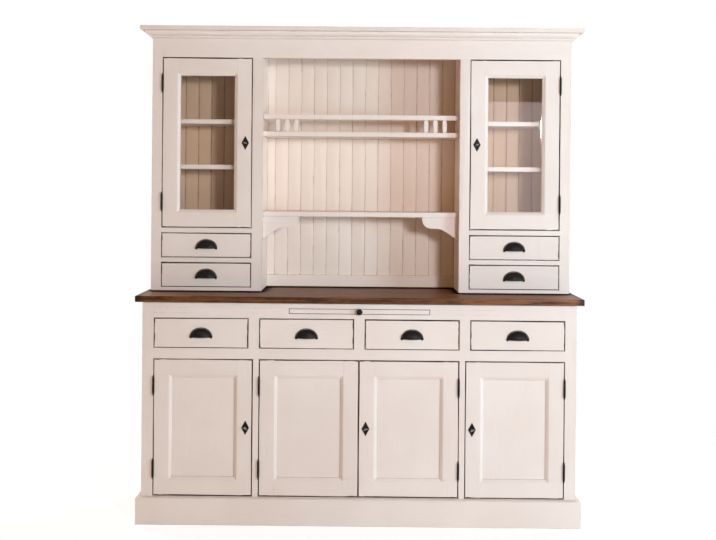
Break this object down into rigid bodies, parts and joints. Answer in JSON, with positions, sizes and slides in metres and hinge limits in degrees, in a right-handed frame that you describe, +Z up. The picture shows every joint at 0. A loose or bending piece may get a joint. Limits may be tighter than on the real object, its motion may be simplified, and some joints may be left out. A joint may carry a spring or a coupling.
{
  "type": "buffet cabinet",
  "caption": "Painted wooden buffet cabinet with a set-back glazed hutch, open shelved niche, cup-pull drawers, panelled doors, dark worktop and pull-out board",
  "frame": {"origin": "on the floor under the middle of the cabinet's width and depth", "axes": "X to the right seen from the front, Y from the front to the back, Z up"},
  "size_m": [2, 0.5, 2.2],
  "materials": {
    "painted_wood": "cream paint, rubbed through at the edges",
    "worktop_wood": "dark stain and wax",
    "iron": "blackened",
    "glass": "clear"
  },
  "bodies": {
    "carcass": {"base_plinth": "painted_wood", "base_side_panels": "painted_wood", "base_inner_boards": "painted_wood", "base_back_boards": "painted_wood", "base_face_frame": "painted_wood", "drawer_guides": "painted_wood", "worktop": "worktop_wood", "hutch_upright_panels": "painted_wood", "hutch_level_boards": "painted_wood", "hutch_face_frame": "painted_wood", "hutch_back_boards": "painted_wood", "cornice": "painted_wood", "niche_shelves": "painted_wood", "hinge_frame_halves": "iron"},
    "pullout": {"pullout_board": "painted_wood", "pullout_knob": "iron"},
    "base_door_1": {"base_door_1_frame": "painted_wood", "base_door_1_panel": "painted_wood", "base_door_1_ironwork": "iron"},
    "base_door_1_key": {"base_door_1_key": "iron"},
    "base_door_1_bolt": {"base_door_1_bolt": "iron"},
    "base_door_2": {"base_door_2_frame": "painted_wood", "base_door_2_panel": "painted_wood", "base_door_2_ironwork": "iron"},
    "base_door_3": {"base_door_3_frame": "painted_wood", "base_door_3_panel": "painted_wood", "base_door_3_ironwork": "iron"},
    "base_door_3_key": {"base_door_3_key": "iron"},
    "base_door_3_bolt": {"base_door_3_bolt": "iron"},
    "base_door_4": {"base_door_4_frame": "painted_wood", "base_door_4_panel": "painted_wood", "base_door_4_ironwork": "iron"},
    "base_door_4_key": {"base_door_4_key": "iron"},
    "base_door_4_bolt": {"base_door_4_bolt": "iron"},
    "glass_door_left": {"glass_door_left_frame": "painted_wood", "glass_door_left_pane": "glass", "glass_door_left_ironwork": "iron"},
    "glass_door_left_key": {"glass_door_left_key": "iron"},
    "glass_door_left_bolt": {"glass_door_left_bolt": "iron"},
    "glass_door_right": {"glass_door_right_frame": "painted_wood", "glass_door_right_pane": "glass", "glass_door_right_ironwork": "iron"},
    "glass_door_right_key": {"glass_door_right_key": "iron"},
    "glass_door_right_bolt": {"glass_door_right_bolt": "iron"},
    "base_drawer_1": {"base_drawer_1": "painted_wood", "base_drawer_1_pull": "iron"},
    "base_drawer_2": {"base_drawer_2": "painted_wood", "base_drawer_2_pull": "iron"},
    "base_drawer_3": {"base_drawer_3": "painted_wood", "base_drawer_3_pull": "iron"},
    "base_drawer_4": {"base_drawer_4": "painted_wood", "base_drawer_4_pull": "iron"},
    "hutch_drawer_lower_left": {"hutch_drawer_lower_left": "painted_wood", "hutch_drawer_lower_left_pull": "iron"},
    "hutch_drawer_lower_right": {"hutch_drawer_lower_right": "painted_wood", "hutch_drawer_lower_right_pull": "iron"},
    "hutch_drawer_upper_left": {"hutch_drawer_upper_left": "painted_wood", "hutch_drawer_upper_left_pull": "iron"},
    "hutch_drawer_upper_right": {"hutch_drawer_upper_right": "painted_wood", "hutch_drawer_upper_right_pull": "iron"}
  },
  "joints": [
    {"name": "base_door_1_hinge", "type": "hinge", "parent": "carcass", "child": "base_door_1", "pos_m": [-0.89875, -0.227, 0.4215], "axis": [0, 0, -1], "range_deg": [0, 110]},
    {"name": "base_door_1_key_turn", "type": "hinge", "parent": "base_door_1", "child": "base_door_1_key", "pos_m": [-0.496, -0.222, 0.4215], "axis": [0, 1, 0], "range_deg": [0, 90]},
    {"name": "base_door_1_bolt_slide", "type": "slide", "parent": "base_door_1", "child": "base_door_1_bolt", "axis": [1, 0, 0], "range_m": [0, 0.01]},
    {"name": "base_door_2_hinge", "type": "hinge", "parent": "carcass", "child": "base_door_2", "pos_m": [-0.43675, -0.227, 0.4215], "axis": [0, 0, -1], "range_deg": [0, 110]},
    {"name": "base_door_3_hinge", "type": "hinge", "parent": "carcass", "child": "base_door_3", "pos_m": [0.43675, -0.227, 0.4215], "axis": [0, 0, 1], "range_deg": [0, 110]},
    {"name": "base_door_3_key_turn", "type": "hinge", "parent": "base_door_3", "child": "base_door_3_key", "pos_m": [0.03075, -0.222, 0.4215], "axis": [0, -1, 0], "range_deg": [0, 90]},
    {"name": "base_door_3_bolt_slide", "type": "slide", "parent": "base_door_3", "child": "base_door_3_bolt", "axis": [-1, 0, 0], "range_m": [0, 0.01]},
    {"name": "base_door_4_hinge", "type": "hinge", "parent": "carcass", "child": "base_door_4", "pos_m": [0.89875, -0.227, 0.4215], "axis": [0, 0, 1], "range_deg": [0, 110]},
    {"name": "base_door_4_key_turn", "type": "hinge", "parent": "base_door_4", "child": "base_door_4_key", "pos_m": [0.496, -0.222, 0.4215], "axis": [0, -1, 0], "range_deg": [0, 90]},
    {"name": "base_door_4_bolt_slide", "type": "slide", "parent": "base_door_4", "child": "base_door_4_bolt", "axis": [-1, 0, 0], "range_m": [0, 0.01]},
    {"name": "glass_door_left_hinge", "type": "hinge", "parent": "carcass", "child": "glass_door_left", "pos_m": [-0.90275, -0.047, 1.6755], "axis": [0, 0, -1], "range_deg": [0, 110]},
    {"name": "glass_door_left_key_turn", "type": "hinge", "parent": "glass_door_left", "child": "glass_door_left_key", "pos_m": [-0.526, -0.042, 1.6755], "axis": [0, 1, 0], "range_deg": [0, 90]},
    {"name": "glass_door_left_bolt_slide", "type": "slide", "parent": "glass_door_left", "child": "glass_door_left_bolt", "axis": [1, 0, 0], "range_m": [0, 0.01]},
    {"name": "glass_door_right_hinge", "type": "hinge", "parent": "carcass", "child": "glass_door_right", "pos_m": [0.90275, -0.047, 1.6755], "axis": [0, 0, 1], "range_deg": [0, 110]},
    {"name": "glass_door_right_key_turn", "type": "hinge", "parent": "glass_door_right", "child": "glass_door_right_key", "pos_m": [0.526, -0.042, 1.6755], "axis": [0, -1, 0], "range_deg": [0, 90]},
    {"name": "glass_door_right_bolt_slide", "type": "slide", "parent": "glass_door_right", "child": "glass_door_right_bolt", "axis": [-1, 0, 0], "range_m": [0, 0.01]},
    {"name": "base_drawer_1_slide", "type": "slide", "parent": "carcass", "child": "base_drawer_1", "axis": [0, -1, 0], "range_m": [0, 0.35]},
    {"name": "base_drawer_2_slide", "type": "slide", "parent": "carcass", "child": "base_drawer_2", "axis": [0, -1, 0], "range_m": [0, 0.35]},
    {"name": "base_drawer_3_slide", "type": "slide", "parent": "carcass", "child": "base_drawer_3", "axis": [0, -1, 0], "range_m": [0, 0.35]},
    {"name": "base_drawer_4_slide", "type": "slide", "parent": "carcass", "child": "base_drawer_4", "axis": [0, -1, 0], "range_m": [0, 0.35]},
    {"name": "hutch_drawer_lower_left_slide", "type": "slide", "parent": "carcass", "child": "hutch_drawer_lower_left", "axis": [0, -1, 0], "range_m": [0, 0.19]},
    {"name": "hutch_drawer_lower_right_slide", "type": "slide", "parent": "carcass", "child": "hutch_drawer_lower_right", "axis": [0, -1, 0], "range_m": [0, 0.19]},
    {"name": "hutch_drawer_upper_left_slide", "type": "slide", "parent": "carcass", "child": "hutch_drawer_upper_left", "axis": [0, -1, 0], "range_m": [0, 0.19]},
    {"name": "hutch_drawer_upper_right_slide", "type": "slide", "parent": "carcass", "child": "hutch_drawer_upper_right", "axis": [0, -1, 0], "range_m": [0, 0.19]},
    {"name": "pullout_slide", "type": "slide", "parent": "carcass", "child": "pullout", "axis": [0, -1, 0], "range_m": [0, 0.3]}
  ],
  "couplings": [
    {"joint": "base_door_1_bolt_slide", "follows": "base_door_1_key_turn", "m_per_rad": 0.006366},
    {"joint": "base_door_3_bolt_slide", "follows": "base_door_3_key_turn", "m_per_rad": 0.006366},
    {"joint": "base_door_4_bolt_slide", "follows": "base_door_4_key_turn", "m_per_rad": 0.006366},
    {"joint": "glass_door_left_bolt_slide", "follows": "glass_door_left_key_turn", "m_per_rad": 0.006366},
    {"joint": "glass_door_right_bolt_slide", "follows": "glass_door_right_key_turn", "m_per_rad": 0.006366}
  ]
}
